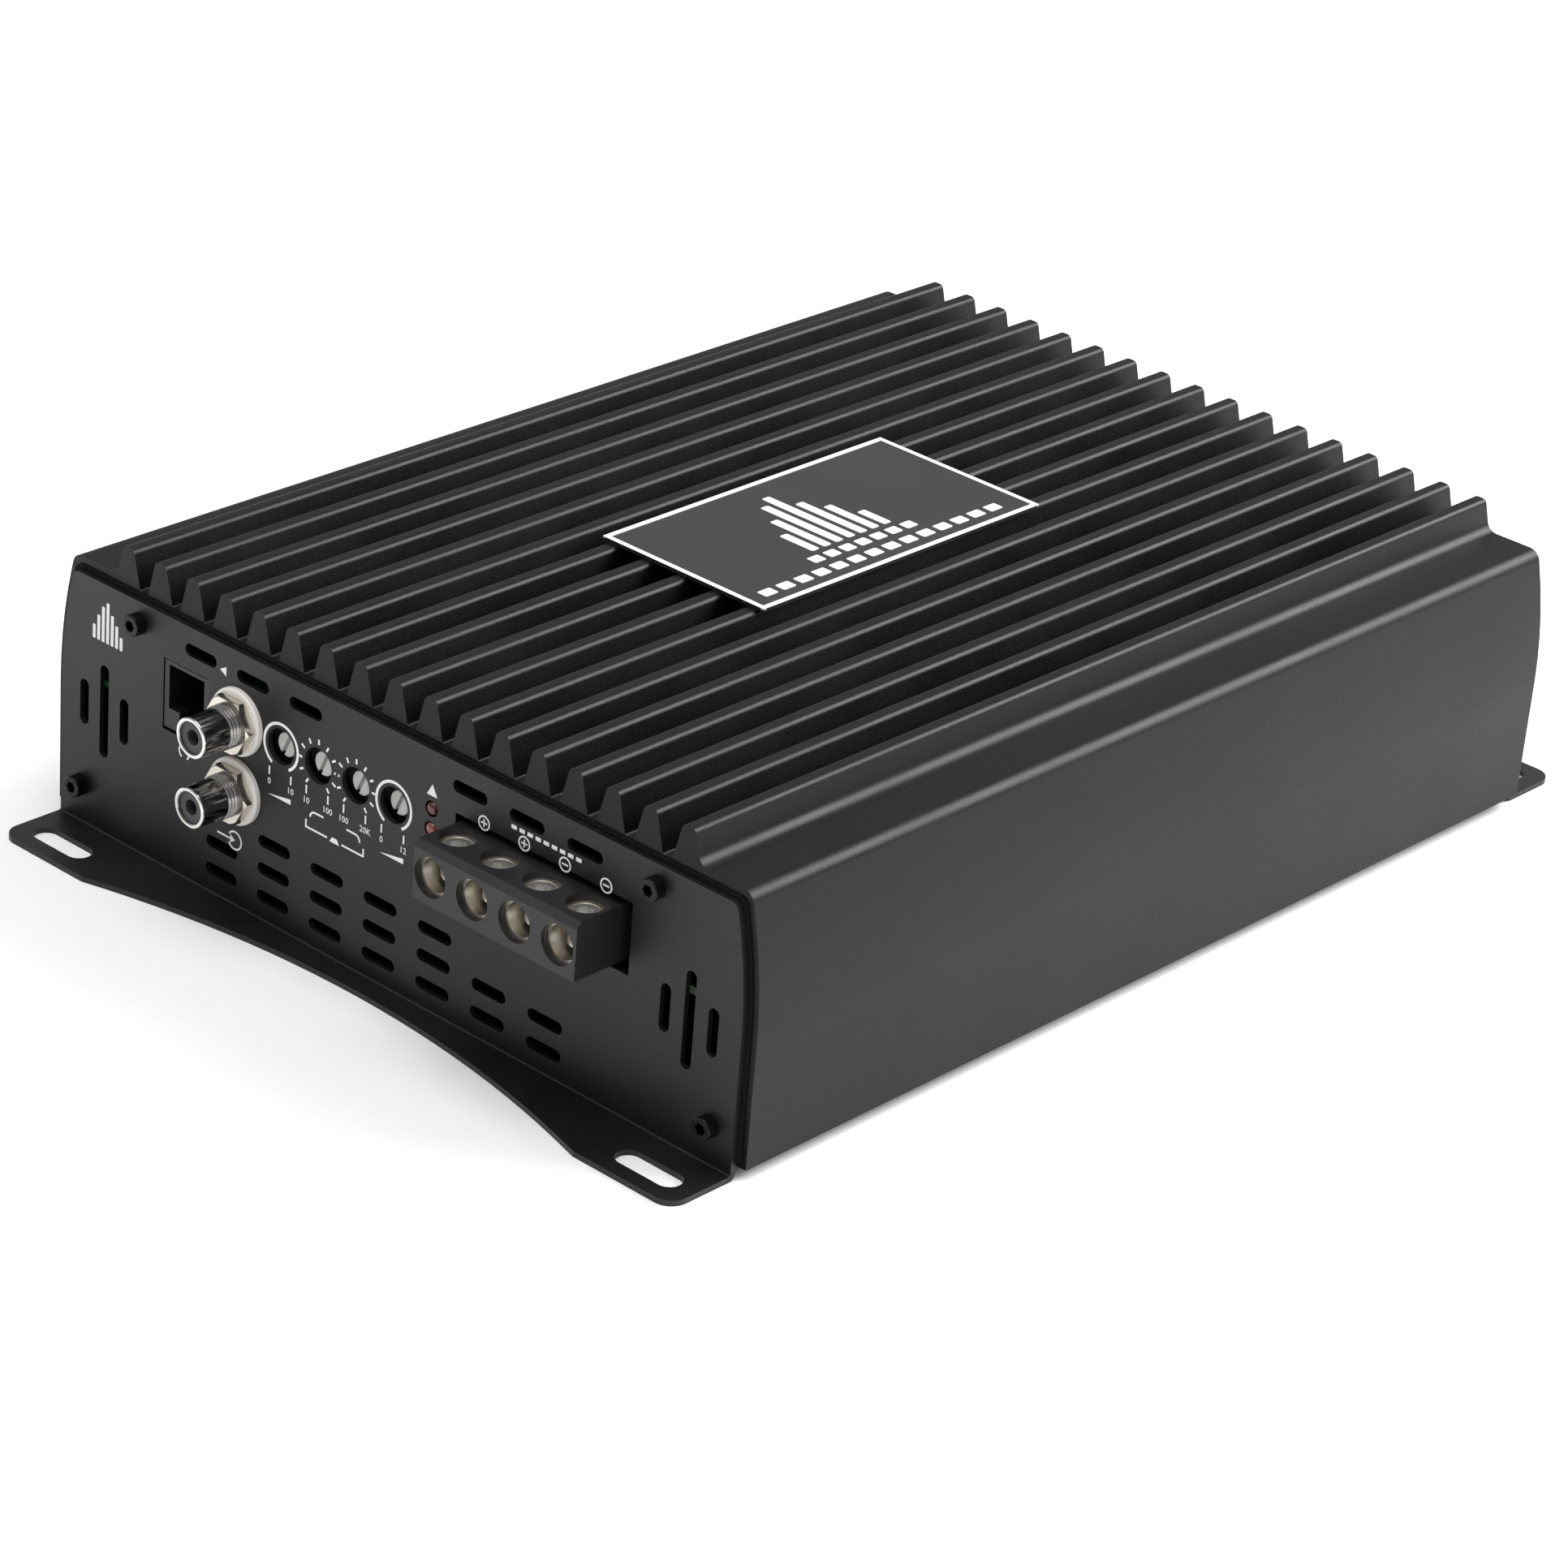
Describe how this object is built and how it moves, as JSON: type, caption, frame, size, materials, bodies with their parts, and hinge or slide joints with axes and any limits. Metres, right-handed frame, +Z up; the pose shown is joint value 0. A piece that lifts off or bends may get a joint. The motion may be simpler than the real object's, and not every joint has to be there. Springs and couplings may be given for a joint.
{
  "type": "car amplifier",
  "caption": "Flat car audio power amplifier in a finned black extruded case, with screw terminals, phono inputs and level controls on its end panels.",
  "frame": {"origin": "centre of the footprint, on the surface that the mounting feet stand on", "axes": "+Z up; +Y from the connector panel to the supply panel, along the fins; +X to the right when looking at the connector panel"},
  "size_m": [0.192, 0.2742, 0.0658],
  "materials": {
    "black_anodised_aluminium": "black anodised, satin",
    "black_painted_steel": "fine black powder coat, satin",
    "black_foam": "matte foam strip",
    "black_oxide_steel": "black oxide, semi-gloss",
    "nickel_steel": "nickel plated, bright",
    "zinc_steel": "bright zinc plate",
    "badge_aluminium": "black print on brushed plate, satin",
    "terminal_plastic": "moulded, fine satin",
    "nickel_brass": "nickel plated, bright",
    "dark_chrome": "smoked chrome, polished",
    "grey_insulator": "moulded",
    "white_nylon": "moulded nylon, satin",
    "black_socket_plastic": "moulded, satin",
    "gold_contact": "gold flash",
    "grey_rotor_plastic": "moulded, satin",
    "red_lens": "tinted epoxy, glossy",
    "circuit_board": "green solder mask on glass epoxy",
    "capacitor_sleeve": "shrink sleeve on an aluminium can",
    "ferrite": "sintered, matte",
    "copper_wire": "enamelled copper",
    "epoxy_package": "moulded epoxy",
    "silicone_pad": "thin silicone sheet",
    "bare_aluminium": "mill finish"
  },
  "bodies": {
    "chassis": {"heatsink_case": "black_anodised_aluminium", "front_panel": "black_painted_steel", "rear_panel": "black_painted_steel", "bottom_cover": "black_painted_steel", "front_gasket": "black_foam", "rear_gasket": "black_foam", "front_panel_screws": "black_oxide_steel", "rear_panel_screws": "black_oxide_steel", "bottom_cover_screws": "black_oxide_steel", "board_screws": "zinc_steel", "clamp_bar_screws": "zinc_steel", "board_standoffs": "zinc_steel", "badge_plate": "badge_aluminium", "speaker_terminal_housing": "terminal_plastic", "power_terminal_housing": "terminal_plastic", "speaker_terminal_clamps": "nickel_brass", "power_terminal_clamps": "nickel_brass", "rca_nuts": "nickel_brass", "rca_centre_contacts": "nickel_brass", "rca_shells": "dark_chrome", "rca_insulators": "grey_insulator", "rca_washers": "white_nylon", "remote_socket": "black_socket_plastic", "control_pot_bodies": "black_socket_plastic", "remote_socket_contacts": "gold_contact", "input_board_pins": "gold_contact", "lamp_leads": "gold_contact", "protect_lamp": "red_lens", "power_lamp": "red_lens", "main_board": "circuit_board", "input_board": "circuit_board", "driver_board": "circuit_board", "reservoir_capacitors": "capacitor_sleeve", "transformer_core": "ferrite", "output_inductor_core": "ferrite", "transformer_winding": "copper_wire", "output_inductor_winding": "copper_wire", "power_transistors": "epoxy_package", "signal_chips": "epoxy_package", "insulator_strips": "silicone_pad", "clamp_bars": "bare_aluminium"},
    "gain_control": {"gain_rotor": "grey_rotor_plastic"},
    "high_pass_control": {"high_pass_rotor": "grey_rotor_plastic"},
    "low_pass_control": {"low_pass_rotor": "grey_rotor_plastic"},
    "bass_boost_control": {"bass_boost_rotor": "grey_rotor_plastic"},
    "speaker_pad_1": {"speaker_pressure_pad_1": "zinc_steel"},
    "speaker_screw_1": {"speaker_terminal_screw_1": "nickel_steel"},
    "speaker_pad_2": {"speaker_pressure_pad_2": "zinc_steel"},
    "speaker_screw_2": {"speaker_terminal_screw_2": "nickel_steel"},
    "speaker_pad_3": {"speaker_pressure_pad_3": "zinc_steel"},
    "speaker_screw_3": {"speaker_terminal_screw_3": "nickel_steel"},
    "speaker_pad_4": {"speaker_pressure_pad_4": "zinc_steel"},
    "speaker_screw_4": {"speaker_terminal_screw_4": "nickel_steel"},
    "power_pad_1": {"power_pressure_pad_1": "zinc_steel"},
    "power_screw_1": {"power_terminal_screw_1": "nickel_steel"},
    "power_pad_2": {"power_pressure_pad_2": "zinc_steel"},
    "power_screw_2": {"power_terminal_screw_2": "nickel_steel"},
    "power_pad_3": {"power_pressure_pad_3": "zinc_steel"},
    "power_screw_3": {"power_terminal_screw_3": "nickel_steel"}
  },
  "joints": [
    {"name": "gain_turn", "type": "hinge", "parent": "chassis", "child": "gain_control", "pos_m": [-0.029, -0.118, 0.0404], "axis": [0, 1, 0], "range_deg": [-175, 125]},
    {"name": "high_pass_turn", "type": "hinge", "parent": "chassis", "child": "high_pass_control", "pos_m": [-0.0185, -0.118, 0.0404], "axis": [0, 1, 0], "range_deg": [-175, 125]},
    {"name": "low_pass_turn", "type": "hinge", "parent": "chassis", "child": "low_pass_control", "pos_m": [-0.008, -0.118, 0.0404], "axis": [0, 1, 0], "range_deg": [-175, 125]},
    {"name": "bass_boost_turn", "type": "hinge", "parent": "chassis", "child": "bass_boost_control", "pos_m": [0.0025, -0.118, 0.0404], "axis": [0, 1, 0], "range_deg": [-175, 125]},
    {"name": "speaker_pad_lift_1", "type": "slide", "parent": "chassis", "child": "speaker_pad_1", "axis": [0, 0, 1], "range_m": [0, 0.005]},
    {"name": "speaker_screw_turn_1", "type": "hinge", "parent": "speaker_pad_1", "child": "speaker_screw_1", "pos_m": [0.02435, -0.126, 0.039], "axis": [0, 0, 1], "range_deg": [0, 1800]},
    {"name": "speaker_pad_lift_2", "type": "slide", "parent": "chassis", "child": "speaker_pad_2", "axis": [0, 0, 1], "range_m": [0, 0.005]},
    {"name": "speaker_screw_turn_2", "type": "hinge", "parent": "speaker_pad_2", "child": "speaker_screw_2", "pos_m": [0.03545, -0.126, 0.039], "axis": [0, 0, 1], "range_deg": [0, 1800]},
    {"name": "speaker_pad_lift_3", "type": "slide", "parent": "chassis", "child": "speaker_pad_3", "axis": [0, 0, 1], "range_m": [0, 0.005]},
    {"name": "speaker_screw_turn_3", "type": "hinge", "parent": "speaker_pad_3", "child": "speaker_screw_3", "pos_m": [0.04655, -0.126, 0.039], "axis": [0, 0, 1], "range_deg": [0, 1800]},
    {"name": "speaker_pad_lift_4", "type": "slide", "parent": "chassis", "child": "speaker_pad_4", "axis": [0, 0, 1], "range_m": [0, 0.005]},
    {"name": "speaker_screw_turn_4", "type": "hinge", "parent": "speaker_pad_4", "child": "speaker_screw_4", "pos_m": [0.05765, -0.126, 0.039], "axis": [0, 0, 1], "range_deg": [0, 1800]},
    {"name": "power_pad_lift_1", "type": "slide", "parent": "chassis", "child": "power_pad_1", "axis": [0, 0, 1], "range_m": [0, 0.005]},
    {"name": "power_screw_turn_1", "type": "hinge", "parent": "power_pad_1", "child": "power_screw_1", "pos_m": [0.0111, 0.126, 0.039], "axis": [0, 0, 1], "range_deg": [0, 1800]},
    {"name": "power_pad_lift_2", "type": "slide", "parent": "chassis", "child": "power_pad_2", "axis": [0, 0, 1], "range_m": [0, 0.005]},
    {"name": "power_screw_turn_2", "type": "hinge", "parent": "power_pad_2", "child": "power_screw_2", "pos_m": [0, 0.126, 0.039], "axis": [0, 0, 1], "range_deg": [0, 1800]},
    {"name": "power_pad_lift_3", "type": "slide", "parent": "chassis", "child": "power_pad_3", "axis": [0, 0, 1], "range_m": [0, 0.005]},
    {"name": "power_screw_turn_3", "type": "hinge", "parent": "power_pad_3", "child": "power_screw_3", "pos_m": [-0.0111, 0.126, 0.039], "axis": [0, 0, 1], "range_deg": [0, 1800]}
  ],
  "couplings": [
    {"joint": "speaker_screw_turn_1", "follows": "speaker_pad_lift_1", "rad_per_m": 6283.2},
    {"joint": "speaker_screw_turn_2", "follows": "speaker_pad_lift_2", "rad_per_m": 6283.2},
    {"joint": "speaker_screw_turn_3", "follows": "speaker_pad_lift_3", "rad_per_m": 6283.2},
    {"joint": "speaker_screw_turn_4", "follows": "speaker_pad_lift_4", "rad_per_m": 6283.2},
    {"joint": "power_screw_turn_1", "follows": "power_pad_lift_1", "rad_per_m": 6283.2},
    {"joint": "power_screw_turn_2", "follows": "power_pad_lift_2", "rad_per_m": 6283.2},
    {"joint": "power_screw_turn_3", "follows": "power_pad_lift_3", "rad_per_m": 6283.2}
  ]
}
